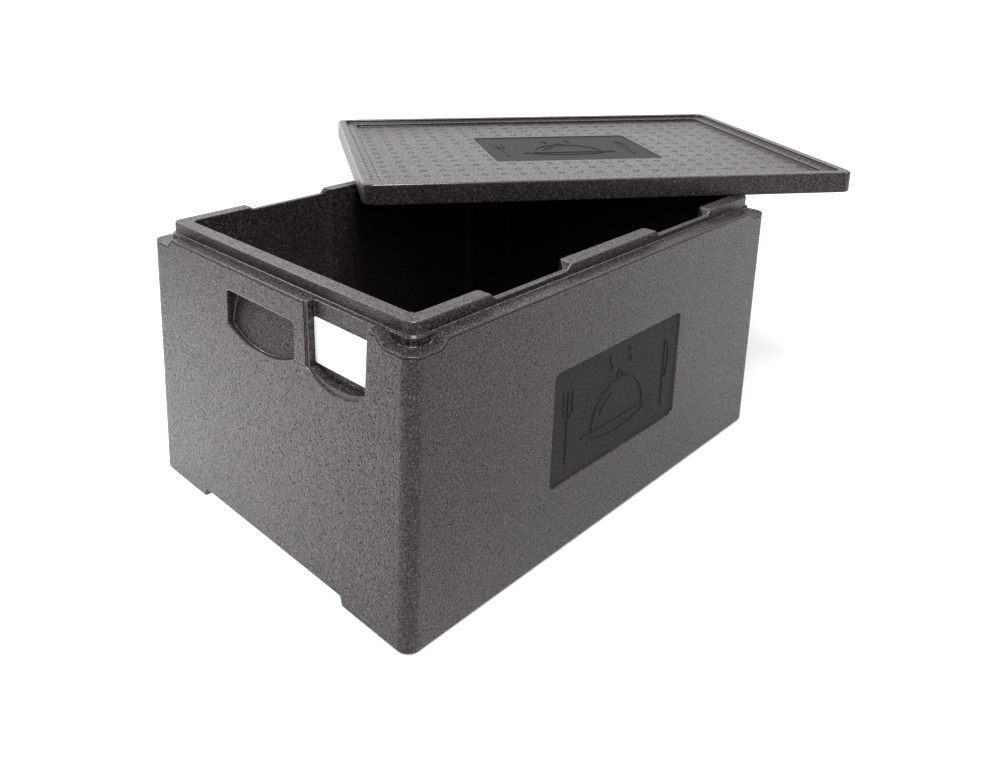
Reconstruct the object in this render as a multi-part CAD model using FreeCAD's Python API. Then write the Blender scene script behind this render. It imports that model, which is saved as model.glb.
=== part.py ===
import FreeCAD, Part
import math
import os

# Insulated food carrier for one full-size gastronorm pan: a moulded foam tub,
# a loose moulded foam lid and a write-on card that drops into the tub's end.
# Millimetres, +Z up, origin at the centre of the tub's footprint on the ground.
# The tub's long sides run along X. The lid lies askew across the +X end.

# ---- driving dimensions ----
LENGTH = 600.0             # outside, along X
WIDTH = 400.0              # outside, along Y
SHOULDER_HEIGHT = 282.0    # ledge that the closed lid sits on
RIM_HEIGHT = 12.0          # rim above the ledge
LEDGE_WIDTH = 16.0         # from the outer face to the rim
FLOOR_THICKNESS = 25.0
CORNER_RADIUS = 14.0       # upright outside corners
RIM_CORNER_RADIUS = 10.0

INSIDE_LENGTH = 536.0
INSIDE_WIDTH = 337.0
INSIDE_CORNER_RADIUS = 6.0
FLOOR_FILLET = 5.0
BOTTOM_EDGE_FILLET = 4.0

# hand pockets in the long walls, two per wall, with the rim lowered over them
POCKET_CENTRE = 132.0      # from the middle of the long side
POCKET_BACK_HALF = 52.0
POCKET_MOUTH_HALF = 60.0
POCKET_DEPTH = 9.3
GAP_RIM_HEIGHT = 6.0       # what is left of the rim there
GAP_HALF_LOW = 51.0
GAP_HALF_HIGH = 59.0

# finger dips in the ledge at the four corners
DIP_DEPTH = 8.0
DIP_REACH = 33.0           # flat part, from the outer face along each side
DIP_SLOPE = 8.0            # run of the sloping end
DIP_INNER_STRIP = 3.0      # ledge left standing beside the rim

# carrying grips in the end walls
GRIP_OFFSET = 3.0          # sideways from the middle, away from the card
GRIP_WIDTH = 107.0
GRIP_TOP = 257.0
GRIP_SIDE_BOTTOM = 222.0
GRIP_BOTTOM = 209.0
GRIP_TOP_DEPTH = 15.0
GRIP_BOTTOM_DEPTH = 4.0
GRIP_CORNER_RADIUS = 4.0

# card recess beside the grip, open through the ledge: a shallow step round a deep slot
RECESS_OFFSET = 107.5
RECESS_TOP_HALF = 43.0
RECESS_SIDE_BOTTOM_HALF = 40.3
RECESS_SIDE_BOTTOM = 221.0
RECESS_BOTTOM = 207.4
RECESS_STEP_DEPTH = 1.6
RECESS_STRIP = 4.0         # width of the step beside the slot
RECESS_FOOT_STRIP = 6.0    # and below it
RECESS_DEPTH = 9.6

# fine parting groove that the mould leaves just below the top edge and the dips
PARTING_DROP = 2.8         # from the edge to the groove's lower side
PARTING_WIDTH = 0.9
PARTING_DEPTH = 1.2

# notch under each end
NOTCH_HALF_WIDTH = 112.0
NOTCH_HEIGHT = 11.0
NOTCH_DEPTH = 22.0
NOTCH_FLARE = 3.0

# sunk badge field on the long sides
BADGE_LENGTH = 225.0
BADGE_HEIGHT = 122.0
BADGE_CENTRE_Z = 137.0
BADGE_DEPTH = 1.6
BADGE_RADIUS = 7.0

# lid
LID_EDGE = 25.0            # height of the lid's side
LID_BORDER = 11.0          # raised border round the top
LID_STEP_WIDTH = 15.0      # lower band inside the border
LID_STEP_DROP = 3.5
LID_FIELD_DROP = 7.0
LID_SKIRT = LEDGE_WIDTH - 0.6    # lid edge outside the rim groove
LID_GROOVE_WIDTH = 17.2
LID_GROOVE_DEPTH = 12.6
LID_BADGE_LENGTH = 226.0
LID_BADGE_WIDTH = 148.0
LID_BADGE_DEPTH = 1.2
LID_EDGE_FILLET = 3.0
LID_LOWER_FILLET = 1.5
LID_STEP_RADIUS = 10.0     # upright corners of the step and of the field
LID_FIELD_RADIUS = 7.0

# where the lid lies
LID_X = 265.5
LID_Y = 74.4
LID_YAW_DEG = -35.85
REST_GAP = 0.3             # air left between parts that only touch

# write-on card
CARD_FOOT = 224.0
CARD_HEIGHT = 42.5
CARD_THICKNESS = 1.0
CARD_RADIUS = 1.5

RIM_TOP = SHOULDER_HEIGHT + RIM_HEIGHT
HALF_LENGTH = LENGTH / 2
HALF_WIDTH = WIDTH / 2
Z_AXIS = FreeCAD.Vector(0, 0, 1)
ORIGIN = FreeCAD.Vector(0, 0, 0)
CLEAR = 1.0                # how far a cutting solid runs past the face that it cuts
FLAT = 1e-6                # edges this close to level or to a length count as such


def rounded_block(length, width, low, high, radius, fillet=0.0, fillet_top=0.0):
    """A centred block with rounded upright edges, and its lower or upper edges eased."""
    block = Part.makeBox(length, width, high - low, FreeCAD.Vector(-length / 2, -width / 2, low))
    upright = [e for e in block.Edges if abs(e.BoundBox.ZLength - (high - low)) < FLAT]
    if radius > 0:
        block = block.makeFillet(radius, upright)
    if fillet > 0:
        block = block.makeFillet(fillet, edges_at(block, low))
    if fillet_top > 0:
        block = block.makeFillet(fillet_top, edges_at(block, high))
    return block


def edges_at(shape, level):
    """The edges that lie flat at one height."""
    return [
        e for e in shape.Edges
        if abs(e.BoundBox.ZMin - level) < FLAT and abs(e.BoundBox.ZMax - level) < FLAT
    ]


def prism(points, direction):
    """A straight-sided solid from corner points, swept along a vector."""
    corners = [FreeCAD.Vector(*p) for p in points]
    corners.append(corners[0])
    return Part.Face(Part.makePolygon(corners)).extrude(FreeCAD.Vector(*direction))


def both_ends(shape):
    """The shape and its copy turned half a turn about the upright axis."""
    other = shape.copy()
    other.rotate(ORIGIN, Z_AXIS, 180)
    return [shape, other]


def rim_pockets():
    """Upright hand pockets in the long inner walls, and the low stretches of rim over them."""
    tools = []
    wall = INSIDE_WIDTH / 2
    low = SHOULDER_HEIGHT + GAP_RIM_HEIGHT
    for side in (-1, 1):
        y_front = side * (wall - CLEAR)
        y_back = side * (wall + POCKET_DEPTH)
        y_out = side * (HALF_WIDTH - LEDGE_WIDTH + CLEAR)
        for centre in (-POCKET_CENTRE, POCKET_CENTRE):
            pocket = prism(
                [
                    (centre - POCKET_MOUTH_HALF, y_front, FLOOR_THICKNESS),
                    (centre - POCKET_MOUTH_HALF, side * wall, FLOOR_THICKNESS),
                    (centre - POCKET_BACK_HALF, y_back, FLOOR_THICKNESS),
                    (centre + POCKET_BACK_HALF, y_back, FLOOR_THICKNESS),
                    (centre + POCKET_MOUTH_HALF, side * wall, FLOOR_THICKNESS),
                    (centre + POCKET_MOUTH_HALF, y_front, FLOOR_THICKNESS),
                ],
                (0, 0, RIM_TOP),
            )
            gap = prism(
                [
                    (centre - GAP_HALF_LOW, y_front, low),
                    (centre + GAP_HALF_LOW, y_front, low),
                    (centre + GAP_HALF_HIGH, y_front, RIM_TOP + CLEAR),
                    (centre - GAP_HALF_HIGH, y_front, RIM_TOP + CLEAR),
                ],
                (0, y_out - y_front, 0),
            )
            tools += [pocket, gap]
    return tools


def dip_corners(grow):
    """Blocks over the four finger dips, with sloping ends, grown by an even offset."""
    low = SHOULDER_HEIGHT - DIP_DEPTH - grow
    high = SHOULDER_HEIGHT + CLEAR
    run = DIP_SLOPE / DIP_DEPTH
    spread = grow * (math.hypot(1, run) - run)
    blocks = []
    for sx in (-1, 1):
        for sy in (-1, 1):
            x_low = HALF_LENGTH - DIP_REACH - spread
            y_low = HALF_WIDTH - DIP_REACH - spread
            x_high = x_low - run * (high - low)
            y_high = y_low - run * (high - low)
            x_out = sx * (HALF_LENGTH + CLEAR)
            y_out = sy * (HALF_WIDTH + CLEAR)
            along_x = prism(
                [(x_out, 0, low), (sx * x_low, 0, low), (sx * x_high, 0, high), (x_out, 0, high)],
                (0, y_out, 0),
            )
            along_y = prism(
                [(0, y_out, low), (0, sy * y_low, low), (0, sy * y_high, high), (0, y_out, high)],
                (x_out, 0, 0),
            )
            blocks.append(along_x.common(along_y))
    return blocks


def corner_dips():
    """Finger dips in the ledge, with a strip of ledge left beside the rim."""
    margin = 2 * (LEDGE_WIDTH - DIP_INNER_STRIP)
    keep = rounded_block(
        LENGTH - margin, WIDTH - margin, SHOULDER_HEIGHT - 2 * DIP_DEPTH, RIM_TOP,
        RIM_CORNER_RADIUS + DIP_INNER_STRIP,
    )
    return [block.cut(keep) for block in dip_corners(0)]


def parting_groove():
    """Thin groove round the outside that follows the top edge and the dips."""
    def above(grow):
        slab = rounded_block(
            LENGTH + 2 * CLEAR, WIDTH + 2 * CLEAR, SHOULDER_HEIGHT - grow, RIM_TOP, CORNER_RADIUS
        )
        return slab.fuse(dip_corners(grow))

    core = rounded_block(
        LENGTH - 2 * PARTING_DEPTH, WIDTH - 2 * PARTING_DEPTH, 0, RIM_TOP + CLEAR,
        CORNER_RADIUS - PARTING_DEPTH,
    )
    return above(PARTING_DROP).cut(above(PARTING_DROP - PARTING_WIDTH)).cut(core)


def end_arc(y_left, y_right, z_side, z_bottom, x):
    """An arc that sags from one side to the other, on the plane of an end wall."""
    middle = FreeCAD.Vector(x, (y_left + y_right) / 2, z_bottom)
    start = FreeCAD.Vector(x, y_left, z_side)
    end = FreeCAD.Vector(x, y_right, z_side)
    return Part.Arc(start, middle, end).toShape()


def grip_recess():
    """D-shaped carrying grip in the -X end, deepest at the top where the fingers hook."""
    x = -HALF_LENGTH - CLEAR
    left = GRIP_OFFSET + GRIP_WIDTH / 2
    right = GRIP_OFFSET - GRIP_WIDTH / 2
    outline = [
        Part.makeLine((x, right, GRIP_SIDE_BOTTOM), (x, right, GRIP_TOP)),
        Part.makeLine((x, right, GRIP_TOP), (x, left, GRIP_TOP)),
        Part.makeLine((x, left, GRIP_TOP), (x, left, GRIP_SIDE_BOTTOM)),
        end_arc(left, right, GRIP_SIDE_BOTTOM, GRIP_BOTTOM, x),
    ]
    reach = GRIP_TOP_DEPTH + CLEAR
    solid = Part.Face(Part.Wire(Part.__sortEdges__(outline))).extrude(
        FreeCAD.Vector(reach, 0, 0)
    )
    corners = [
        e for e in solid.Edges
        if abs(e.BoundBox.XLength - reach) < FLAT and e.BoundBox.ZMin > GRIP_TOP - FLAT
    ]
    solid = solid.makeFillet(GRIP_CORNER_RADIUS, corners)
    back_top = -HALF_LENGTH + GRIP_TOP_DEPTH
    back_bottom = -HALF_LENGTH + GRIP_BOTTOM_DEPTH
    slope = prism(
        [
            (back_top, left + CLEAR, GRIP_TOP),
            (back_bottom, left + CLEAR, GRIP_BOTTOM),
            (back_bottom, left + CLEAR, GRIP_BOTTOM - CLEAR),
            (back_top + CLEAR, left + CLEAR, GRIP_BOTTOM - CLEAR),
            (back_top + CLEAR, left + CLEAR, GRIP_TOP),
        ],
        (0, -GRIP_WIDTH - 2 * CLEAR, 0),
    )
    return solid.cut(slope)


def recess_half(z):
    """Half the width of the recess's step at a height, above its arc."""
    taper = (RECESS_TOP_HALF - RECESS_SIDE_BOTTOM_HALF) / (SHOULDER_HEIGHT - RECESS_SIDE_BOTTOM)
    return RECESS_SIDE_BOTTOM_HALF + taper * (z - RECESS_SIDE_BOTTOM)


def recess_solid(side_strip, foot_strip, depth):
    """U-shaped solid over the card recess, its outline drawn in from the sides and the foot."""
    x = -HALF_LENGTH - CLEAR
    top = SHOULDER_HEIGHT + CLEAR
    top_half = recess_half(top) - side_strip
    low_half = RECESS_SIDE_BOTTOM_HALF - side_strip
    low = RECESS_SIDE_BOTTOM
    centre = -RECESS_OFFSET
    outline = [
        Part.makeLine((x, centre + top_half, top), (x, centre - top_half, top)),
        Part.makeLine((x, centre - top_half, top), (x, centre - low_half, low)),
        end_arc(centre - low_half, centre + low_half, low, RECESS_BOTTOM + foot_strip, x),
        Part.makeLine((x, centre + low_half, low), (x, centre + top_half, top)),
    ]
    return Part.Face(Part.Wire(Part.__sortEdges__(outline))).extrude(
        FreeCAD.Vector(depth + CLEAR, 0, 0)
    )


def end_notch():
    """Notch under the -X end, between the two feet."""
    x = -HALF_LENGTH - CLEAR
    foot_half = NOTCH_HALF_WIDTH + NOTCH_FLARE
    return prism(
        [
            (x, -foot_half, -CLEAR),
            (x, foot_half, -CLEAR),
            (x, NOTCH_HALF_WIDTH, NOTCH_HEIGHT),
            (x, -NOTCH_HALF_WIDTH, NOTCH_HEIGHT),
        ],
        (NOTCH_DEPTH + CLEAR, 0, 0),
    )


def side_badge():
    """Sunk field in the middle of the -Y side."""
    depth = BADGE_DEPTH + CLEAR
    low = BADGE_CENTRE_Z - BADGE_HEIGHT / 2
    field = Part.makeBox(
        BADGE_LENGTH, depth, BADGE_HEIGHT,
        FreeCAD.Vector(-BADGE_LENGTH / 2, -HALF_WIDTH - CLEAR, low),
    )
    corners = [e for e in field.Edges if abs(e.BoundBox.YLength - depth) < FLAT]
    return field.makeFillet(BADGE_RADIUS, corners)


def make_tub():
    body = rounded_block(
        LENGTH, WIDTH, 0, SHOULDER_HEIGHT, CORNER_RADIUS, fillet=BOTTOM_EDGE_FILLET
    )
    rim = rounded_block(
        LENGTH - 2 * LEDGE_WIDTH, WIDTH - 2 * LEDGE_WIDTH, SHOULDER_HEIGHT - CLEAR, RIM_TOP,
        RIM_CORNER_RADIUS,
    )
    cavity = rounded_block(
        INSIDE_LENGTH, INSIDE_WIDTH, FLOOR_THICKNESS, RIM_TOP + CLEAR, INSIDE_CORNER_RADIUS,
        fillet=FLOOR_FILLET,
    )
    body = body.fuse(rim)
    tools = [cavity, parting_groove()] + rim_pockets() + corner_dips()
    tools += both_ends(grip_recess())
    tools += both_ends(recess_solid(0, 0, RECESS_STEP_DEPTH))
    tools += both_ends(recess_solid(RECESS_STRIP, RECESS_FOOT_STRIP, RECESS_DEPTH))
    tools += both_ends(end_notch())
    tools += both_ends(side_badge())
    return body.cut(tools).removeSplitter()


def make_lid():
    """The lid on its own origin: underside at z = 0, top border at z = LID_EDGE."""
    body = rounded_block(
        LENGTH, WIDTH, 0, LID_EDGE, CORNER_RADIUS,
        fillet=LID_LOWER_FILLET, fillet_top=LID_EDGE_FILLET,
    )
    high = LID_EDGE + CLEAR
    step = rounded_block(
        LENGTH - 2 * LID_BORDER, WIDTH - 2 * LID_BORDER, LID_EDGE - LID_STEP_DROP, high,
        LID_STEP_RADIUS,
    )
    inset = LID_BORDER + LID_STEP_WIDTH
    field = rounded_block(
        LENGTH - 2 * inset, WIDTH - 2 * inset, LID_EDGE - LID_FIELD_DROP, high, LID_FIELD_RADIUS
    )
    badge = rounded_block(
        LID_BADGE_LENGTH, LID_BADGE_WIDTH, LID_EDGE - LID_FIELD_DROP - LID_BADGE_DEPTH, high,
        BADGE_RADIUS,
    )
    groove_outer = rounded_block(
        LENGTH - 2 * LID_SKIRT, WIDTH - 2 * LID_SKIRT, -CLEAR, LID_GROOVE_DEPTH, RIM_CORNER_RADIUS
    )
    inner = LID_SKIRT + LID_GROOVE_WIDTH
    groove_inner = rounded_block(
        LENGTH - 2 * inner, WIDTH - 2 * inner, -2 * CLEAR, LID_GROOVE_DEPTH + CLEAR,
        INSIDE_CORNER_RADIUS,
    )
    return body.cut([step, field, badge, groove_outer.cut(groove_inner)])


def place_lid(shape):
    shape.rotate(ORIGIN, Z_AXIS, LID_YAW_DEG)
    shape.translate(FreeCAD.Vector(LID_X, LID_Y, RIM_TOP + REST_GAP))
    return shape


def make_card():
    """Write-on card that stands at the back of the slot, wedged where the slot narrows."""
    back = -HALF_LENGTH + RECESS_DEPTH - REST_GAP
    head = CARD_FOOT + CARD_HEIGHT
    foot_half = recess_half(CARD_FOOT) - RECESS_STRIP - REST_GAP
    head_half = recess_half(head) - RECESS_STRIP - REST_GAP
    card = prism(
        [
            (back, -RECESS_OFFSET - foot_half, CARD_FOOT),
            (back, -RECESS_OFFSET + foot_half, CARD_FOOT),
            (back, -RECESS_OFFSET + head_half, head),
            (back, -RECESS_OFFSET - head_half, head),
        ],
        (-CARD_THICKNESS, 0, 0),
    )
    corners = [e for e in card.Edges if abs(e.BoundBox.XLength - CARD_THICKNESS) < FLAT]
    return card.makeFillet(CARD_RADIUS, corners)


def check_solid(name, shape):
    if not shape.isValid() or len(shape.Solids) != 1:
        raise ValueError(f"{name}: {len(shape.Solids)} solids, valid {shape.isValid()}")
    return shape.Solids[0]


os.makedirs("parts", exist_ok=True)
pieces = {
    "tub": make_tub(),
    "lid": place_lid(make_lid()),
    "label_card": make_card(),
}
for name, shape in pieces.items():
    solid = check_solid(name, shape)
    solid.exportStep(f"parts/{name}.step")
    box = solid.optimalBoundingBox(False, False)
    print(
        f"{name}: {solid.Volume / 1e6:.4f} litres, "
        f"x {box.XMin:.1f} {box.XMax:.1f}  y {box.YMin:.1f} {box.YMax:.1f}  z {box.ZMin:.1f} {box.ZMax:.1f}"
    )
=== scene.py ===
import math

import bmesh
import bpy
from mathutils import Matrix, Quaternion, Vector


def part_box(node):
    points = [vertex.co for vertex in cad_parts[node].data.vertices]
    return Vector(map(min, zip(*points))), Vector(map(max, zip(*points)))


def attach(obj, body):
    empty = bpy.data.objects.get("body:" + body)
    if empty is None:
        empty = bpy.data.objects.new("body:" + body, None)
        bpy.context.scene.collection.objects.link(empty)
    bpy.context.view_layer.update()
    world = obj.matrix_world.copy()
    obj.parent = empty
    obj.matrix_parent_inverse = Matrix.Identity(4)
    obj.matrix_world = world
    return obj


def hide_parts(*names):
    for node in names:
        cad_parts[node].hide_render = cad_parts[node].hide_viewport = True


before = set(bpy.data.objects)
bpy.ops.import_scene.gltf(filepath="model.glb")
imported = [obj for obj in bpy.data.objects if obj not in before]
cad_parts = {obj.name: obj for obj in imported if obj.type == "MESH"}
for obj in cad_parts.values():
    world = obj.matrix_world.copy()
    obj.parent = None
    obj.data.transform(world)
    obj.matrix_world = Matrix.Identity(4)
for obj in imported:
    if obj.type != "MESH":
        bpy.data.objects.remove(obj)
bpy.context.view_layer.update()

MM = 0.001

# ---- places taken from the frame ----
_, TUB_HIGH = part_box("tub")
LID_LOW, LID_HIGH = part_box("lid")
HALF_LENGTH, HALF_WIDTH, RIM_TOP = TUB_HIGH

# ---- tub: ledge, finger dips at its corners, card recess in each end, badge on each side ----
LEDGE = RIM_TOP - 12 * MM
DIP_FLOOR = LEDGE - 8 * MM
DIP_REACH = 33 * MM
CAVITY_EASED_TO = LEDGE - 30 * MM
CAVITY_INSET = (25 * MM, 20 * MM)
OUTSIDE_BAND = 16 * MM
GROOVE_BELOW_LEDGE = (1.2 * MM, 4.2 * MM)
RECESS_OFFSET = 107.5 * MM
RECESS_HALF = 45 * MM
RECESS_FOOT = 205 * MM
CARD_PLANE = HALF_LENGTH - 9.6 * MM
BADGE_DEPTH = 1.6 * MM
BADGE_CENTRE_Z = 137 * MM
BADGE_HALF = (112.5 * MM, 61 * MM)

# ---- how far the mould rounds the tub's edges ----
EASED_EDGE = 1.3 * MM
EASED_RAMP = 0.7 * MM
EASED_STEP = 0.5 * MM
EASED_GROOVE = 0.2 * MM
EASED_SLOT_BACK = 0.25 * MM
SHARP_FROM = math.radians(33)
BEVEL_STEPS = 3
FLAT_UP_TO = 35

# ---- lid, on its own centre with its underside at z = 0; insets run in from its edge ----
LID_EDGE = LID_HIGH[2] - LID_LOW[2]
LID_YAW = math.radians(-35.85)
LID_CENTRE = ((LID_LOW[0] + LID_HIGH[0]) / 2, (LID_LOW[1] + LID_HIGH[1]) / 2)
LID_CORNER = 14 * MM
LID_TOP_ROUND = 2.6 * MM
LID_LOW_ROUND = 1.5 * MM
LID_BORDER = 11 * MM
BORDER_CORNER = 10 * MM
LID_BAND = 26 * MM
BAND_CORNER = 7 * MM
LID_BAND_Z = LID_EDGE - 3.5 * MM
LID_FIELD_Z = LID_EDGE - 7 * MM
LID_STEP_ROUND = 0.8 * MM
LID_BADGE_Z = LID_FIELD_Z - 1.2 * MM
LID_BADGE_HALF = (113 * MM, 74 * MM)
LID_BADGE_CORNER = 7 * MM
LID_BADGE_ROUND = 0.5 * MM
RIM_GROOVE = (15.4 * MM, 32.6 * MM)
RIM_GROOVE_CORNERS = (10 * MM, 6 * MM)
RIM_GROOVE_Z = 12.6 * MM
RIM_GROOVE_CHAMFER = 1 * MM

# ---- marks in the lid's top: rings over the field, pips along the band ----
MARK_DEPTH = 0.9 * MM
RING_COLUMNS, RING_ROWS = 23, 14
RING_PITCH = (24 * MM, 25.3 * MM)
RING_RADIUS = 3.3 * MM
RING_WIDTH = 1.4 * MM
RING_SIDES = 14
RINGS_CLEAR_OF = (117 * MM, 78 * MM)
PIP_PITCH = 12.5 * MM
PIP_RADIUS = 1.9 * MM
PIP_SIDES = 8
PIP_INSETS = (14 * MM, 23 * MM)
PIP_CORNER = 7 * MM

# ---- foam: its colours, among them a painted highlight for its glints and painted shade for its
# pinholes; the spacing of its beads, its grain and its cloudiness. The real grain is finer, and
# is drawn as coarse as it needs to show ----
# the third colour of each row is a painted highlight for the glints, the second painted shade
# for the pinholes
FOAM_GREY, FOAM_PIT_SHADE, FOAM_PAINTED_GLINT = "#2b2627", "#040303", "#6c6667"
FIELD_GREY, FIELD_PIT_SHADE, FIELD_PAINTED_GLINT = "#161415", "#070606", "#242223"
BEAD = 3.6 * MM
FIELD_BEAD = 2.6 * MM
GRAIN = 1.8 * MM
CLOUD = 40 * MM

# ---- studio: the table's painted glow and painted pool of light, the room's glow, then each soft box's place, aim and watts ----
TABLE_HALF = 14
# the table's emission is painted light: a glow dimmer near the tub and brighter outwards, and a
# painted pool of light beside the tub's end
TABLE_PAINTED_GLOW = (0.18, 0.76)
TABLE_PAINTED_GLOW_REACH = (0.3, 3.0)
POOL_PAINTED_GLOW = 1.65
PAINTED_POOL_CENTRE = (-0.5, 0.34, 0)
PAINTED_POOL_REACH = (0.15, 0.78)
WALL_GLOW = 0.05
CEILING_GLOW = 1.5
SWEEP_GLOW = 1.55
SWEEP_WAY = (0.5, 0.866, 0)
ROOM_AS_SEEN = 1.05
SOFTBOX_SIZE = 0.6
SOFTBOXES = (
    ("top_softbox", (-0.45, -0.55, 2.0), (0, 0, 0), 36),
    ("left_softbox", (-1.3, 1.9, 1.7), (-0.3, 0.2, 0.2), 13),
    ("right_softbox", (1.8, -1.1, 1.6), (0.2, -0.2, 0.2), 5),
)

# ---- camera: place in metres; azimuth, degrees down and roll ----
CAMERA_PLACE = (-0.74448, -0.64461, 0.57934)
CAMERA_TURN = (46.982, 13.914, 0.385)
CAMERA_LENS = 32.263
CAMERA_SHIFT = (0.115, -0.214)


# ---------------------------------------------------------------- helpers
def hex_colour(code):
    """An sRGB hex colour as linear red, green, blue and alpha."""
    parts = [int(code[i:i + 2], 16) / 255 for i in (1, 3, 5)]
    linear = [c / 12.92 if c <= 0.04045 else ((c + 0.055) / 1.055) ** 2.4 for c in parts]
    return (*linear, 1.0)


def add_node(tree, kind, place=(0, 0), links=None, values=None, **settings):
    """Adds a node, sets its properties and socket values, and links its inputs."""
    node = tree.nodes.new(kind)
    node.location = place
    for key, value in settings.items():
        setattr(node, key, value)
    for key, value in (values or {}).items():
        node.inputs[key].default_value = value
    for key, source in (links or {}).items():
        tree.links.new(source, node.inputs[key])
    return node


def link_object(name, data):
    """A new object on this data, in the scene."""
    piece = bpy.data.objects.new(name, data)
    bpy.context.scene.collection.objects.link(piece)
    return piece


def plain_mesh(obj):
    """The object's mesh with its modifiers applied; the object itself is removed."""
    depsgraph = bpy.context.evaluated_depsgraph_get()
    mesh = bpy.data.meshes.new_from_object(obj.evaluated_get(depsgraph), depsgraph=depsgraph)
    bpy.data.objects.remove(obj)
    return mesh


def ride_piece(name, mesh, body, nodes=()):
    """Links a finished mesh as a piece on a CAD body, standing for the CAD nodes named."""
    piece = link_object(name, mesh)
    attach(piece, body)
    if nodes:
        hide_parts(*nodes)
    return piece


def smooth_by_angle(mesh, degrees):
    """Smooth shading, broken at edges that turn by more than the angle."""
    for polygon in mesh.polygons:
        polygon.use_smooth = True
    mesh.set_sharp_from_angle(angle=math.radians(degrees))


def shaded_flat_to_round(mesh):
    """Smooth normals that follow the large faces, so flats stay flat beside rounded edges."""
    smooth_by_angle(mesh, FLAT_UP_TO)
    work = link_object("work", mesh)
    weigh = work.modifiers.new("weigh", "WEIGHTED_NORMAL")
    weigh.mode = "FACE_AREA"
    weigh.weight = 100
    weigh.keep_sharp = True
    return plain_mesh(work)


def set_materials(mesh, materials, pick=None):
    """Gives the mesh its materials; pick(polygon) says which one a face takes."""
    mesh.materials.clear()
    for material in materials:
        mesh.materials.append(material)
    for polygon in mesh.polygons:
        polygon.material_index = pick(polygon) if pick else 0


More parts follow.
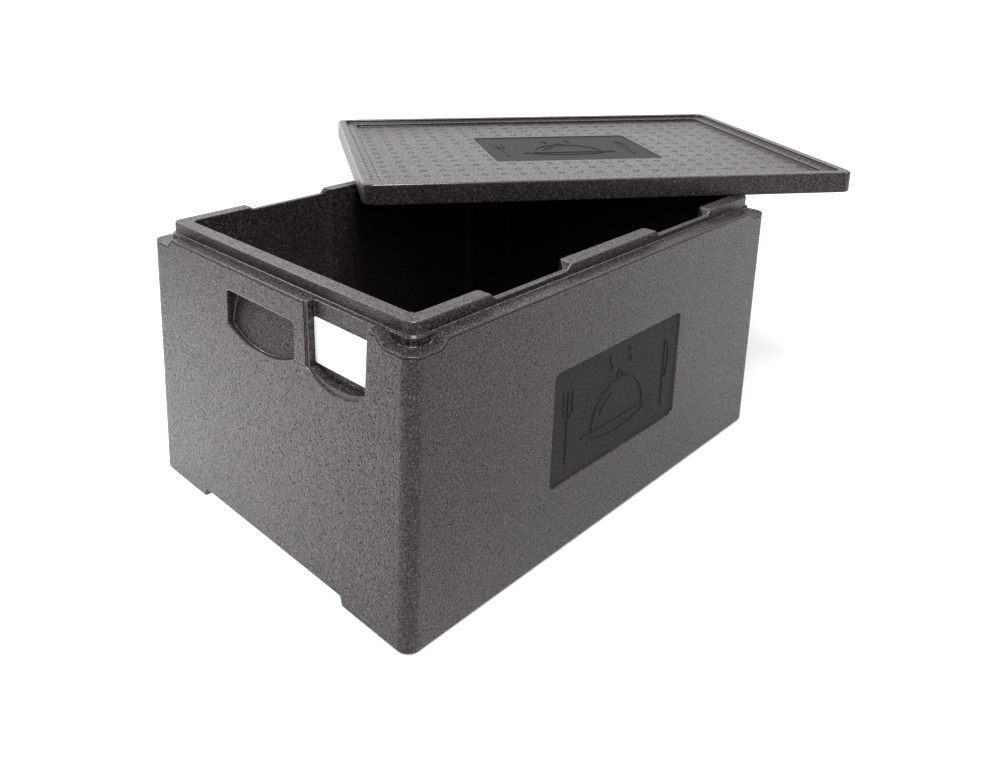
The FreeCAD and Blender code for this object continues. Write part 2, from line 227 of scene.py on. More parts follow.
# ---------------------------------------------------------------- materials
def bead_foam(name, base, pit_shade, painted_glint, bead=BEAD, relief=1.0, pits_and_shade=0.85,
              satin=(0.36, 0.2), ior=1.33):
    """Expanded polypropylene, steam-moulded: a low satin skin over welded beads. The eye sees
    a fine grain of light and dark, each bead a shade apart from the next. Its small glints
    are painted highlights, light specks mixed into the colour; its pinholes, where the steam
    vented between beads, are dented by the bump and darkened with painted shade. satin is the
    roughness at the hollows and at the tops of the grain."""
    material = bpy.data.materials.new(name)
    material.use_nodes = True
    tree = material.node_tree
    tree.nodes.clear()
    place = add_node(tree, "ShaderNodeTexCoord", (-1300, 0)).outputs["Object"]
    beads = add_node(
        tree, "ShaderNodeTexVoronoi", (-1050, 250), {"Vector": place},
        {"Scale": 1 / bead}, feature="F1",
    )
    chance = add_node(
        tree, "ShaderNodeSeparateColor", (-850, 400), {"Color": beads.outputs["Color"]},
    )
    grain = add_node(
        tree, "ShaderNodeTexNoise", (-1050, -50), {"Vector": place},
        {"Scale": 1 / GRAIN, "Detail": 1.8, "Roughness": 0.6},
    )
    cloud = add_node(
        tree, "ShaderNodeTexNoise", (-1050, -350), {"Vector": place},
        {"Scale": 1 / CLOUD, "Detail": 3.0},
    )
    dot = add_node(
        tree, "ShaderNodeMapRange", (-650, 250), {"Value": beads.outputs["Distance"]},
        {"From Min": 0.26, "From Max": 0.14, "To Min": 0.0, "To Max": pits_and_shade},
    )
    vented = add_node(
        tree, "ShaderNodeMath", (-650, 450), {0: chance.outputs["Red"]}, {1: 0.5},
        operation="GREATER_THAN",
    )
    pinhole_and_shade = add_node(
        tree, "ShaderNodeMath", (-450, 350), {0: dot.outputs["Result"], 1: vented.outputs[0]},
        operation="MULTIPLY",
    )
    bead_tone = add_node(
        tree, "ShaderNodeMapRange", (-650, 0), {"Value": chance.outputs["Green"]},
        {"To Min": 0.78, "To Max": 1.22},
    )
    fine_tone = add_node(
        tree, "ShaderNodeMapRange", (-650, -250), {"Value": grain.outputs["Fac"]},
        {"From Min": 0.32, "From Max": 0.68, "To Min": 0.1, "To Max": 1.9},
    )
    patch = add_node(
        tree, "ShaderNodeMapRange", (-650, -500), {"Value": cloud.outputs["Fac"]},
        {"From Min": 0.3, "From Max": 0.7, "To Min": 0.92, "To Max": 1.08},
    )
    shade = add_node(
        tree, "ShaderNodeMath", (-450, -100),
        {0: bead_tone.outputs["Result"], 1: fine_tone.outputs["Result"]}, operation="MULTIPLY",
    )
    shade = add_node(
        tree, "ShaderNodeMath", (-250, -100),
        {0: shade.outputs[0], 1: patch.outputs["Result"]}, operation="MULTIPLY",
    )
    body = add_node(
        tree, "ShaderNodeMix", (-50, 100), {"B": shade.outputs[0]},
        {"Factor": 1.0, "A": hex_colour(base)}, data_type="RGBA", blend_type="MULTIPLY",
    )
    # painted highlight: where the grain is high the colour is mixed towards the glint colour,
    # light specks that stand in for glints
    painted_glint_spots = add_node(
        tree, "ShaderNodeMapRange", (-250, -350), {"Value": grain.outputs["Fac"]},
        {"From Min": 0.57, "From Max": 0.72, "To Min": 0.0, "To Max": 0.6},
    )
    with_painted_glints = add_node(
        tree, "ShaderNodeMix", (150, 100),
        {"Factor": painted_glint_spots.outputs["Result"], "A": body.outputs["Result"]},
        {"B": hex_colour(painted_glint)}, data_type="RGBA",
    )
    # painted shade: the pinholes, also dented by the bump and roughened, are darkened towards
    # near-black for the shade inside them
    colour = add_node(
        tree, "ShaderNodeMix", (350, 100),
        {"Factor": pinhole_and_shade.outputs[0], "A": with_painted_glints.outputs["Result"]},
        {"B": hex_colour(pit_shade)}, data_type="RGBA",
    )
    height = add_node(
        tree, "ShaderNodeMath", (150, -400), {0: pinhole_and_shade.outputs[0], 2: grain.outputs["Fac"]},
        {1: -1.2}, operation="MULTIPLY_ADD",
    )
    bump = add_node(
        tree, "ShaderNodeBump", (350, -400), {"Height": height.outputs[0]},
        {"Strength": relief, "Distance": 0.8 * MM},
    )
    sheen = add_node(
        tree, "ShaderNodeMapRange", (150, -150), {"Value": grain.outputs["Fac"]},
        {"From Min": 0.3, "From Max": 0.7, "To Min": satin[0], "To Max": satin[1]},
    )
    gloss = add_node(
        tree, "ShaderNodeMix", (350, -150),
        {"Factor": pinhole_and_shade.outputs[0], "A": sheen.outputs["Result"]}, {"B": 0.9},
        data_type="FLOAT",
    )
    skin = add_node(
        tree, "ShaderNodeBsdfPrincipled", (600, 0),
        {
            "Base Color": colour.outputs["Result"],
            "Roughness": gloss.outputs["Result"],
            "Normal": bump.outputs["Normal"],
        },
        {"IOR": ior, "Specular Tint": hex_colour("#fff7f9")},
    )
    add_node(tree, "ShaderNodeOutputMaterial", (900, 0), {"Surface": skin.outputs["BSDF"]})
    return material


def card_stock(name):
    """Matt white plastic card: even, with the faintest mottle of its pressed sheet."""
    material = bpy.data.materials.new(name)
    material.use_nodes = True
    tree = material.node_tree
    tree.nodes.clear()
    place = add_node(tree, "ShaderNodeTexCoord", (-800, 0))
    mottle = add_node(
        tree, "ShaderNodeTexNoise", (-600, 0), {"Vector": place.outputs["Object"]},
        {"Scale": 1 / (1.5 * MM), "Detail": 4.0},
    )
    tint = add_node(
        tree, "ShaderNodeMix", (-350, 100), {"Factor": mottle.outputs["Fac"]},
        {"A": hex_colour("#f0f1f3"), "B": hex_colour("#fbfbfc")}, data_type="RGBA",
    )
    bump = add_node(
        tree, "ShaderNodeBump", (-350, -200), {"Height": mottle.outputs["Fac"]},
        {"Strength": 0.1, "Distance": 0.05 * MM},
    )
    skin = add_node(
        tree, "ShaderNodeBsdfPrincipled", (0, 0),
        {"Base Color": tint.outputs["Result"], "Normal": bump.outputs["Normal"]},
        {"Roughness": 0.45, "IOR": 1.5},
    )
    add_node(tree, "ShaderNodeOutputMaterial", (300, 0), {"Surface": skin.outputs["BSDF"]})
    return material


# ---------------------------------------------------------------- tub
def top_height(point):
    """Height of the ledge over a point of the tub's outside, dips included."""
    into_x = HALF_LENGTH - abs(point.x) - DIP_REACH
    into_y = HALF_WIDTH - abs(point.y) - DIP_REACH
    return min(LEDGE, DIP_FLOOR + max(into_x, into_y, 0))


def near_card_recess(point):
    """True on the lips and the slot of a card recess, in either end."""
    across = min(abs(point.y + RECESS_OFFSET), abs(point.y - RECESS_OFFSET))
    outer = abs(point.x) > CARD_PLANE - 1 * MM and across < RECESS_HALF
    return outer and RECESS_FOOT < point.z < LEDGE - 0.5 * MM


def edge_ease(edge):
    """How far one edge of the tub is rounded: 0 where the moulding is left sharp."""
    a, b = (v.co for v in edge.verts)
    middle = (a + b) / 2
    inset_x, inset_y = HALF_LENGTH - abs(middle.x), HALF_WIDTH - abs(middle.y)
    below = top_height(middle) - middle.z

    # down inside the cavity, and along the fold at the head and foot of a dip's 45 degree ramp
    if inset_x > CAVITY_INSET[0] and inset_y > CAVITY_INSET[1] and middle.z < CAVITY_EASED_TO:
        return 0.0
    if abs(a.z - b.z) < 0.01 * MM and abs(edge.calc_face_angle() - math.pi / 4) < 0.05:
        return 0.0

    # round the floor and the ramps of a dip
    if abs(below) < 0.5 * MM and middle.z < LEDGE - 0.3 * MM:
        return EASED_RAMP

    # the card recess, then the parting groove, which runs below the ledge and dips with it
    outside = min(inset_x, inset_y) < OUTSIDE_BAND
    in_groove = outside and GROOVE_BELOW_LEDGE[0] < below < GROOVE_BELOW_LEDGE[1]
    if near_card_recess(middle) and not in_groove:
        return EASED_SLOT_BACK if abs(middle.x) < CARD_PLANE + 1 * MM else EASED_STEP
    if in_groove and middle.z > DIP_FLOOR - 5 * MM:
        return EASED_GROOVE

    # the outline of a badge field
    across_badge = abs(middle.x) < BADGE_HALF[0] + 1 * MM and inset_y < 2 * MM
    if across_badge and abs(middle.z - BADGE_CENTRE_Z) < BADGE_HALF[1] + 1 * MM:
        return EASED_STEP
    return EASED_EDGE


def tub_skin(polygon):
    """Which of the tub's foams a face takes: 0 plain, 1 badge field."""
    centre = polygon.center
    sunk = abs(abs(centre.y) - (HALF_WIDTH - BADGE_DEPTH)) < 0.3 * MM
    within = abs(centre.x) < BADGE_HALF[0] and abs(centre.z - BADGE_CENTRE_Z) < BADGE_HALF[1]
    return 1 if sunk and within and abs(polygon.normal.y) > 0.9 else 0


def softened_tub(plain, field, rounded):
    """The tub's moulding with every edge eased as the foam leaves the mould."""
    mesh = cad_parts["tub"].data.copy()
    shell = bmesh.new()
    shell.from_mesh(mesh)
    bmesh.ops.remove_doubles(shell, verts=shell.verts, dist=0.004 * MM)
    bmesh.ops.dissolve_limit(
        shell, angle_limit=math.radians(0.3), verts=shell.verts, edges=shell.edges,
    )
    weight = shell.edges.layers.float.new("bevel_weight_edge")
    for edge in shell.edges:
        if len(edge.link_faces) == 2 and edge.calc_face_angle() > SHARP_FROM:
            edge[weight] = edge_ease(edge) / EASED_EDGE
    shell.to_mesh(mesh)
    shell.free()
    foams = [plain, field, rounded]
    set_materials(mesh, foams, tub_skin)
    work = link_object("tub_work", mesh)
    ease = work.modifiers.new("ease", "BEVEL")
    ease.limit_method = "WEIGHT"
    ease.width = EASED_EDGE
    ease.segments = BEVEL_STEPS
    ease.use_clamp_overlap = False
    ease.miter_outer = "MITER_ARC"
    ease.material = foams.index(rounded)
    return shaded_flat_to_round(plain_mesh(work))


# ---------------------------------------------------------------- lid
def rounded_rectangle(half_x, half_y, radius, z, steps=10):
    """Corner points of a rounded rectangle, anticlockwise, with the same count for any size."""
    points = []
    for corner, (sx, sy) in enumerate(((1, 1), (-1, 1), (-1, -1), (1, -1))):
        for step in range(steps + 1):
            angle = math.radians(90 * corner + 90 * step / steps)
            x = sx * (half_x - radius) + radius * math.cos(angle)
            y = sy * (half_y - radius) + radius * math.sin(angle)
            points.append(Vector((x, y, z)))
    return points


def quarter_turn(steps):
    """(sine, cosine) pairs from 0 to 90 degrees."""
    angles = [math.radians(90 * k / steps) for k in range(steps + 1)]
    return [(math.sin(a), math.cos(a)) for a in angles]


def lid_section():
    """(inset, height, corner radius) round the lid's section, from the foot of the field's
    edge outwards over the top, down the side and under to the inner side of the rim groove."""
    rows = []

    def step_up(inset, low, high, corner):
        """A near-upright step, rounded at its foot and at its head."""
        ease = LID_STEP_ROUND
        rows.extend(
            (inset + ease * (1 - s), low + ease * (1 - c), corner) for s, c in quarter_turn(3)
        )
        rows.extend(
            (inset - ease * (1 - c), high - ease * (1 - s), corner) for s, c in quarter_turn(3)
        )

    step_up(LID_BAND, LID_FIELD_Z, LID_BAND_Z, BAND_CORNER)
    step_up(LID_BORDER, LID_BAND_Z, LID_EDGE, BORDER_CORNER)
    rows.extend(
        (LID_TOP_ROUND * (1 - s), LID_EDGE - LID_TOP_ROUND * (1 - c), LID_CORNER)
        for s, c in quarter_turn(6)
    )
    rows.extend(
        (LID_LOW_ROUND * (1 - c), LID_LOW_ROUND * (1 - s), LID_CORNER)
        for s, c in quarter_turn(4)
    )
    for side, inset, corner in zip((-1, 1), RIM_GROOVE, RIM_GROOVE_CORNERS):
        cut = RIM_GROOVE_CHAMFER
        wall = [
            (inset + side * cut, 0, corner),
            (inset, cut, corner),
            (inset, RIM_GROOVE_Z - cut, corner),
            (inset - side * cut, RIM_GROOVE_Z, corner),
        ]
        rows.extend(wall if side < 0 else reversed(wall))
    return rows


def lid_shell():
    """The lid as rings of a rounded rectangle, closed across the badge and the underside."""
    half_x, half_y = LID_BADGE_HALF
    ease = LID_BADGE_ROUND
    badge_step = (
        (-1, LID_BADGE_Z),
        (-0.3, LID_BADGE_Z + 0.3 * ease),
        (0, LID_BADGE_Z + ease),
        (0, LID_FIELD_Z - ease),
        (0.3, LID_FIELD_Z - 0.3 * ease),
        (1, LID_FIELD_Z),
    )
    rings = [
        rounded_rectangle(half_x + out * ease, half_y + out * ease, LID_BADGE_CORNER, z)
        for out, z in badge_step
    ]
    rings += [
        rounded_rectangle(HALF_LENGTH - inset, HALF_WIDTH - inset, corner, z)
        for inset, z, corner in lid_section()
    ]
    shell = bmesh.new()
    loops = [[shell.verts.new(point) for point in ring] for ring in rings]
    for inner, outer in zip(loops, loops[1:]):
        for k, near in enumerate(inner):
            n = (k + 1) % len(inner)
            shell.faces.new((near, outer[k], outer[n], inner[n]))
    shell.faces.new(loops[0])
    shell.faces.new(list(reversed(loops[-1])))
    bmesh.ops.remove_doubles(shell, verts=shell.verts, dist=0.002 * MM)
    bmesh.ops.recalc_face_normals(shell, faces=shell.faces)
    mesh = bpy.data.meshes.new("lid_shell")
    shell.to_mesh(mesh)
    shell.free()
    return mesh


def tree_with_inputs(name, floats, integers=()):
    """An empty Geometry Nodes tree with a geometry in and out and named number inputs."""
    tree = bpy.data.node_groups.new(name, "GeometryNodeTree")
    tree.interface.new_socket("Geometry", in_out="INPUT", socket_type="NodeSocketGeometry")
    for label in floats:
        tree.interface.new_socket(label, in_out="INPUT", socket_type="NodeSocketFloat")
    for label in integers:
        tree.interface.new_socket(label, in_out="INPUT", socket_type="NodeSocketInt")
    tree.interface.new_socket("Material", in_out="INPUT", socket_type="NodeSocketMaterial")
    tree.interface.new_socket("Geometry", in_out="OUTPUT", socket_type="NodeSocketGeometry")
    return tree


def vent_mark_tree():
    """Cuts a field of small ring marks and two rows of border pips into a lid."""
    tree = tree_with_inputs(
        "vent_marks",
        (
            "Pitch X", "Pitch Y", "Keep-out X", "Keep-out Y", "Field height", "Ring radius",
            "Ring width", "Mark depth", "Lid length", "Lid width", "Pip pitch", "Pip radius",
            "Border inset", "Border height", "Band inset", "Band height",
        ),
        ("Columns", "Rows"),
    )
    given = add_node(tree, "NodeGroupInput", (-1400, 0)).outputs

    def math_of(operation, a, b, place):
        """A math node on two sources, each a socket, a number or None."""
        links, values = {}, {}
        for index, source in enumerate((a, b)):
            if isinstance(source, (int, float)):
                values[index] = source
            elif source is not None:
                links[index] = source
        node = add_node(tree, "ShaderNodeMath", place, links, values, operation=operation)
        return node.outputs["Value"]

    spans = []
    for row, (count, pitch) in enumerate((("Columns", "Pitch X"), ("Rows", "Pitch Y"))):
        gaps = math_of("SUBTRACT", given[count], 1, (-1200, 300 - 200 * row))
        spans.append(math_of("MULTIPLY", gaps, given[pitch], (-1050, 300 - 200 * row)))
    grid = add_node(
        tree, "GeometryNodeMeshGrid", (-850, 200),
        {"Size X": spans[0], "Size Y": spans[1], "Vertices X": given["Columns"],
         "Vertices Y": given["Rows"]},
    )
    where = add_node(tree, "GeometryNodeInputPosition", (-1200, -200))
    split = add_node(tree, "ShaderNodeSeparateXYZ", (-1050, -200), {0: where.outputs[0]})
    inside = []
    for row, (axis, label) in enumerate((("X", "Keep-out X"), ("Y", "Keep-out Y"))):
        size = math_of("ABSOLUTE", split.outputs[axis], None, (-900, -150 - 150 * row))
        inside.append(math_of("LESS_THAN", size, given[label], (-750, -150 - 150 * row)))
    both = math_of("MULTIPLY", inside[0], inside[1], (-600, -200))
    kept = add_node(
        tree, "GeometryNodeDeleteGeometry", (-600, 200),
        {"Geometry": grid.outputs["Mesh"], "Selection": both}, domain="POINT",
    )
    up = add_node(tree, "ShaderNodeCombineXYZ", (-600, 0), {"Z": given["Field height"]})
    lifted = add_node(
        tree, "GeometryNodeTransform", (-400, 200),
        {"Geometry": kept.outputs["Geometry"], "Translation": up.outputs["Vector"]},
    )
    thick = math_of("MULTIPLY", given["Mark depth"], 2.0, (-600, -450))
    circle = add_node(
        tree, "GeometryNodeCurvePrimitiveCircle", (-400, -300),
        {"Radius": given["Ring radius"]}, {"Resolution": RING_SIDES},
    )
    section = add_node(
        tree, "GeometryNodeCurvePrimitiveQuadrilateral", (-400, -500),
        {"Width": given["Ring width"], "Height": thick},
    )
    ring = add_node(
        tree, "GeometryNodeCurveToMesh", (-200, -300),
        {"Curve": circle.outputs["Curve"], "Profile Curve": section.outputs["Curve"]},
    )
    rings = add_node(
        tree, "GeometryNodeInstanceOnPoints", (0, 100),
        {"Points": lifted.outputs["Geometry"], "Instance": ring.outputs["Mesh"]},
    )
    pip = add_node(
        tree, "GeometryNodeMeshCylinder", (-200, -700),
        {"Radius": given["Pip radius"], "Depth": thick}, {"Vertices": PIP_SIDES},
    )
    cutters = [rings.outputs["Instances"]]
    for row, (inset, height) in enumerate(
        (("Border inset", "Border height"), ("Band inset", "Band height"))
    ):
        y = -900 - 400 * row
        twice = math_of("MULTIPLY", given[inset], 2.0, (-1050, y))
        length = math_of("SUBTRACT", given["Lid length"], twice, (-900, y))
        width = math_of("SUBTRACT", given["Lid width"], twice, (-900, y - 150))
        path = add_node(
            tree, "GeometryNodeCurvePrimitiveQuadrilateral", (-700, y),
            {"Width": length, "Height": width},
        )
        rounded = add_node(
            tree, "GeometryNodeFilletCurve", (-500, y), {"Curve": path.outputs["Curve"]},
            {"Radius": PIP_CORNER, "Count": 8}, mode="POLY",
        )
        spaced = add_node(
            tree, "GeometryNodeResampleCurve", (-300, y),
            {"Curve": rounded.outputs["Curve"], "Length": given["Pip pitch"]}, mode="LENGTH",
        )
        rise = add_node(tree, "ShaderNodeCombineXYZ", (-300, y - 200), {"Z": given[height]})
        pips = add_node(
            tree, "GeometryNodeInstanceOnPoints", (-100, y),
            {"Points": spaced.outputs["Curve"], "Instance": pip.outputs["Mesh"]},
        )
        placed = add_node(
            tree, "GeometryNodeTransform", (100, y),
            {"Geometry": pips.outputs["Instances"], "Translation": rise.outputs["Vector"]},
        )
        cutters.append(placed.outputs["Geometry"])
    joined = add_node(tree, "GeometryNodeJoinGeometry", (300, -300))
    for source in cutters:
        tree.links.new(source, joined.inputs[0])
    solid = add_node(
        tree, "GeometryNodeRealizeInstances", (450, -300), {"Geometry": joined.outputs[0]},
    )
    cut = add_node(
        tree, "GeometryNodeMeshBoolean", (600, 0),
        {"Mesh 1": given["Geometry"], "Mesh 2": solid.outputs["Geometry"]},
        operation="DIFFERENCE", solver="EXACT",
    )
    whole = add_node(
        tree, "GeometryNodeRealizeInstances", (750, 0), {"Geometry": cut.outputs["Mesh"]},
    )
    painted = add_node(
        tree, "GeometryNodeSetMaterial", (900, 0),
        {"Geometry": whole.outputs["Geometry"], "Material": given["Material"]},
    )
    add_node(tree, "NodeGroupOutput", (1100, 0), {"Geometry": painted.outputs["Geometry"]})
    return tree


def with_tree(mesh, tree, inputs):
    """The mesh after a Geometry Nodes tree with its inputs set by name."""
    work = link_object("work", mesh)
    modifier = work.modifiers.new("tree", "NODES")
    modifier.node_group = tree
    for item in tree.interface.items_tree:
        if item.in_out == "INPUT" and item.name in inputs:
            modifier[item.identifier] = inputs[item.name]
    return plain_mesh(work)


def lid_place():
    """From the lid's own centre to where it lies, askew across the rim."""
    turn = Matrix.Rotation(LID_YAW, 4, "Z")
    return Matrix.Translation((LID_CENTRE[0], LID_CENTRE[1], LID_LOW[2])) @ turn


def marked_lid(material):
    """The lid with its marks, on its own centre."""
    return with_tree(lid_shell(), vent_mark_tree(), {
        "Pitch X": RING_PITCH[0], "Pitch Y": RING_PITCH[1],
        "Columns": RING_COLUMNS, "Rows": RING_ROWS,
        "Keep-out X": RINGS_CLEAR_OF[0], "Keep-out Y": RINGS_CLEAR_OF[1],
        "Field height": LID_FIELD_Z, "Ring radius": RING_RADIUS, "Ring width": RING_WIDTH,
        "Mark depth": MARK_DEPTH,
        "Lid length": 2 * HALF_LENGTH, "Lid width": 2 * HALF_WIDTH,
        "Pip pitch": PIP_PITCH, "Pip radius": PIP_RADIUS,
        "Border inset": PIP_INSETS[0], "Border height": LID_BAND_Z,
        "Band inset": PIP_INSETS[1], "Band height": LID_BAND_Z,
        "Material": material,
    })


def lid_skin(polygon):
    """Which of the lid's foams a face takes: 0 plain, 1 badge field, 2 rounded edge."""
    centre = polygon.center
    flat = abs(centre.z - LID_BADGE_Z) < 0.2 * MM
    if flat and polygon.normal.z > 0.9 and abs(centre.x) < LID_BADGE_HALF[0]:
        return 1
    return 2 if 0.15 < abs(polygon.normal.z) < 0.97 else 0


# ---------------------------------------------------------------- emblem
def emblem_lines():
    """A plain covered dish with steam over it, between a fork and a knife, as lines on a
    plane, in millimetres."""
    def arc(cx, cy, rx, ry, start, end, steps=28):
        angles = [math.radians(start + (end - start) * k / steps) for k in range(steps + 1)]
        return [(cx + rx * math.cos(a), cy + ry * math.sin(a)) for a in angles]

    def steam(x):
        return [(x + 2.5 * math.sin(k * math.tau / 12), 33 + 1.4 * k) for k in range(13)]

    dish = [
        arc(0, -22, 46, 42, 0, 180),
        arc(0, -22, 35, 31, 112, 158, 14),
        arc(0, 24.5, 4.5, 4.5, -60, 240, 16),
        [(-64, -25), (64, -25)],
        arc(0, -25, 50, 13, 180, 360),
        steam(-17), steam(17),
    ]
    fork = [
        [(-88, -42), (-88, 8)],
        [(-95, 34), (-95, 14)], [(-88, 34), (-88, 10)], [(-81, 34), (-81, 14)],
        arc(-88, 14, 7, 6, 180, 360, 12),
    ]
    knife = [
        [(86, -42), (86, -2), (86, 34)],
        arc(86, 12, 8, 22, 90, -70, 16),
        [(86, -9), (89, -9)],
    ]
    return dish + fork + knife


def emblem_mesh(placements, width=1.0 * MM):
    """Raised beads along the emblem's lines, once for each placement matrix."""
    curve = bpy.data.curves.new("emblem", "CURVE")
    curve.dimensions = "3D"
    curve.bevel_depth = width
    curve.bevel_resolution = 2
    curve.use_fill_caps = True
    for matrix in placements:
        for line in emblem_lines():
            spline = curve.splines.new("POLY")
            spline.points.add(len(line) - 1)
            for point, (u, v) in zip(spline.points, line):
                point.co = (*(matrix @ Vector((u * MM, v * MM, 0))), 1)
    mesh = plain_mesh(link_object("emblem_work", curve))
    smooth_by_angle(mesh, 50)
    return mesh


def side_placements():
    """Onto the badge fields of the two long sides, upright and readable from outside."""
    places = []
    for side in (-1, 1):
        turn = Matrix.Rotation(math.pi if side > 0 else 0, 4, "Z")
        tilt = Matrix.Rotation(math.radians(90), 4, "X")
        shift = Matrix.Translation((0, side * (HALF_WIDTH - BADGE_DEPTH), BADGE_CENTRE_Z))
        places.append(shift @ turn @ tilt)
    return places


# ---------------------------------------------------------------- studio
def studio():
    """A pale table with a painted glow and a painted pool of light in its emission, a bright
    sweep behind, dim sides, and three soft boxes.
    """
    half = TABLE_HALF
    floor_mesh = bpy.data.meshes.new("floor")
    floor_mesh.from_pydata(
        [(-half, -half, 0), (half, -half, 0), (half, half, 0), (-half, half, 0)],
        [], [(0, 1, 2, 3)],
    )
    floor = link_object("floor", floor_mesh)
    floor_mesh.materials.append(painted_glow_table())
    studio_walls()
    for box in SOFTBOXES:
        softbox(*box)
    bpy.context.scene.view_settings.view_transform = "Standard"


def painted_glow_table():
    """A pale table top whose emission is painted light: a glow that rises from near the tub
    outwards, and a painted pool of light, brightest beside the end of the tub.
    """
    paint = bpy.data.materials.new("pale_table_painted_glow")
    paint.use_nodes = True
    tree = paint.node_tree
    tree.nodes.clear()
    place = add_node(tree, "ShaderNodeTexCoord", (-900, 0)).outputs["Object"]
    away = add_node(
        tree, "ShaderNodeVectorMath", (-700, 0), {0: place}, {1: PAINTED_POOL_CENTRE},
        operation="DISTANCE",
    )
    # painted light: a pool of glow in the table's emission beside the tub's end, fading with
    # distance; no lamp stands there
    lamp = add_node(
        tree, "ShaderNodeMapRange", (-500, 0), {"Value": away.outputs["Value"]},
        {"From Min": PAINTED_POOL_REACH[0], "From Max": PAINTED_POOL_REACH[1],
         "To Min": POOL_PAINTED_GLOW, "To Max": 0.0},
        interpolation_type="SMOOTHSTEP",
    )
    outward = add_node(
        tree, "ShaderNodeVectorMath", (-700, -250), {0: place}, operation="LENGTH",
    )
    rim = add_node(
        tree, "ShaderNodeMapRange", (-500, -250), {"Value": outward.outputs["Value"]},
        {"From Min": TABLE_PAINTED_GLOW_REACH[0], "From Max": TABLE_PAINTED_GLOW_REACH[1],
         "To Min": TABLE_PAINTED_GLOW[0], "To Max": TABLE_PAINTED_GLOW[1]},
    )
    glow = add_node(
        tree, "ShaderNodeMath", (-350, -100),
        {0: lamp.outputs["Result"], 1: rim.outputs["Result"]}, operation="ADD",
    )
    top = add_node(
        tree, "ShaderNodeBsdfPrincipled", (-200, 0), {"Emission Strength": glow.outputs[0]},
        {"Base Color": hex_colour("#d8d8d8"), "Roughness": 0.9, "Emission Color": (1, 1, 1, 1)},
    )
    add_node(tree, "ShaderNodeOutputMaterial", (100, 0), {"Surface": top.outputs["BSDF"]})
    return paint


def studio_walls():
    """The room round the table: dim at the level of the table, lighter overhead, with a white
    sweep on the far side. The room is seen as plain white."""
    world = bpy.data.worlds.new("studio")
    bpy.context.scene.world = world
    world.use_nodes = True
    tree = world.node_tree
    tree.nodes.clear()
    way = add_node(tree, "ShaderNodeTexCoord", (-900, 0)).outputs["Generated"]
    split = add_node(tree, "ShaderNodeSeparateXYZ", (-700, 150), {0: way})
    overhead = add_node(
        tree, "ShaderNodeMapRange", (-500, 150), {"Value": split.outputs["Z"]},
        {"From Min": 0.2, "From Max": 0.95, "To Min": WALL_GLOW, "To Max": CEILING_GLOW},
        interpolation_type="SMOOTHSTEP",
    )
    facing = add_node(
        tree, "ShaderNodeVectorMath", (-700, -150), {0: way}, {1: SWEEP_WAY},
        operation="DOT_PRODUCT",
    )
    sweep = add_node(
        tree, "ShaderNodeMapRange", (-500, -150), {"Value": facing.outputs["Value"]},
        {"From Min": 0.35, "From Max": 0.9, "To Min": 0.0, "To Max": SWEEP_GLOW},
        interpolation_type="SMOOTHSTEP",
    )
    room = add_node(
        tree, "ShaderNodeMath", (-300, 0),
        {0: overhead.outputs["Result"], 1: sweep.outputs["Result"]}, operation="ADD",
    )
    seen = add_node(tree, "ShaderNodeLightPath", (-300, 350)).outputs["Is Camera Ray"]
    strength = add_node(
        tree, "ShaderNodeMix", (-100, 100), {"Factor": seen, "A": room.outputs[0]},
        {"B": ROOM_AS_SEEN}, data_type="FLOAT",
    )
    light = add_node(
        tree, "ShaderNodeBackground", (100, 0), {"Strength": strength.outputs["Result"]},
        {"Color": (1, 1, 1, 1)},
    )
    add_node(tree, "ShaderNodeOutputWorld", (300, 0), {"Surface": light.outputs["Background"]})


def softbox(name, place, aim, watts):
    """A square soft box that faces its aim."""
    light = bpy.data.lights.new(name, "AREA")
    light.shape = "SQUARE"
    light.size = SOFTBOX_SIZE
    light.energy = watts
    lamp = link_object(name, light)
    lamp.location = place
    lamp.rotation_euler = (Vector(aim) - Vector(place)).to_track_quat("-Z", "Y").to_euler()


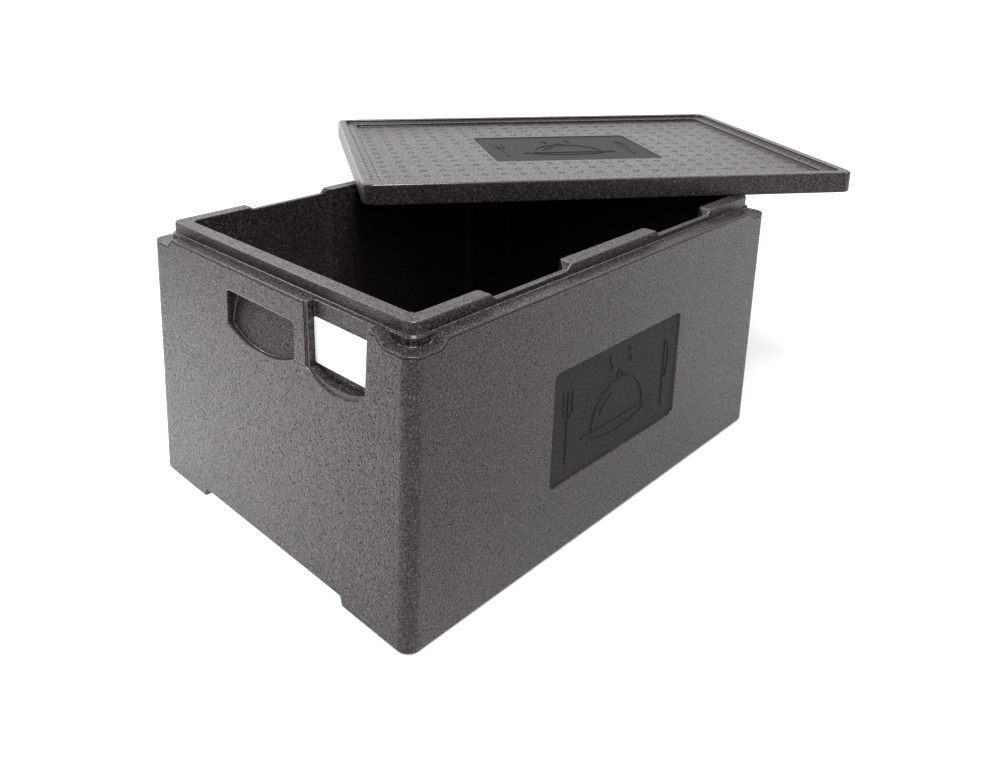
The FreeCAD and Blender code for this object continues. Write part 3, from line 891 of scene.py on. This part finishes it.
def camera():
    """A camera a little above the rim, with the shift that a product camera has."""
    data = bpy.data.cameras.new("camera")
    data.sensor_width = 36
    data.lens = CAMERA_LENS
    data.shift_x, data.shift_y = CAMERA_SHIFT
    cam = link_object("camera", data)
    azimuth, down, roll = (math.radians(a) for a in CAMERA_TURN)
    look = Vector((
        math.cos(azimuth) * math.cos(down), math.sin(azimuth) * math.cos(down), -math.sin(down)
    ))
    cam.location = CAMERA_PLACE
    cam.rotation_mode = "QUATERNION"
    cam.rotation_quaternion = look.to_track_quat("-Z", "Y") @ Quaternion((0, 0, 1), roll)
    bpy.context.scene.camera = cam


# ---------------------------------------------------------------- the carrier
camera()
studio()
tub_foam = bead_foam("steam_moulded_bead_foam_tub", FOAM_GREY, FOAM_PIT_SHADE, FOAM_PAINTED_GLINT)
lid_foam = bead_foam(
    "steam_moulded_bead_foam_lid", FOAM_GREY, FOAM_PIT_SHADE, FOAM_PAINTED_GLINT, relief=0.9,
)
# the badge fields are moulded against a finer, matter face of the mould
field_foam = bead_foam(
    "fine_skinned_bead_foam", FIELD_GREY, FIELD_PIT_SHADE, FIELD_PAINTED_GLINT, bead=FIELD_BEAD,
    relief=0.7, pits_and_shade=0.3, satin=(0.72, 0.58),
)
# the rounded edges come out of the mould smoother and shinier than the flats
edge_skin = bead_foam(
    "mould_polished_edge_foam", FOAM_GREY, FOAM_PIT_SHADE, FOAM_PAINTED_GLINT, relief=0.1, pits_and_shade=0.2,
    satin=(0.22, 0.13), ior=1.6,
)
white_card = card_stock("matt_white_card_stock")

tub_mesh = softened_tub(tub_foam, field_foam, edge_skin)
ride_piece("foam_tub", tub_mesh, "tub_body", ["tub"])

side_emblems = emblem_mesh(side_placements())
set_materials(side_emblems, [field_foam])
ride_piece("tub_emblems", side_emblems, "tub_body")

lid_mesh = marked_lid(lid_foam)
set_materials(lid_mesh, [lid_foam, field_foam, edge_skin], lid_skin)
lid_mesh.transform(lid_place())
lid_mesh = shaded_flat_to_round(lid_mesh)
ride_piece("foam_lid", lid_mesh, "lid_body", ["lid"])

lid_emblem = emblem_mesh([lid_place() @ Matrix.Translation((0, 0, LID_BADGE_Z))])
set_materials(lid_emblem, [field_foam])
ride_piece("lid_emblem", lid_emblem, "lid_body")

card_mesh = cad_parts["label_card"].data
card_mesh.materials.clear()
card_mesh.materials.append(white_card)
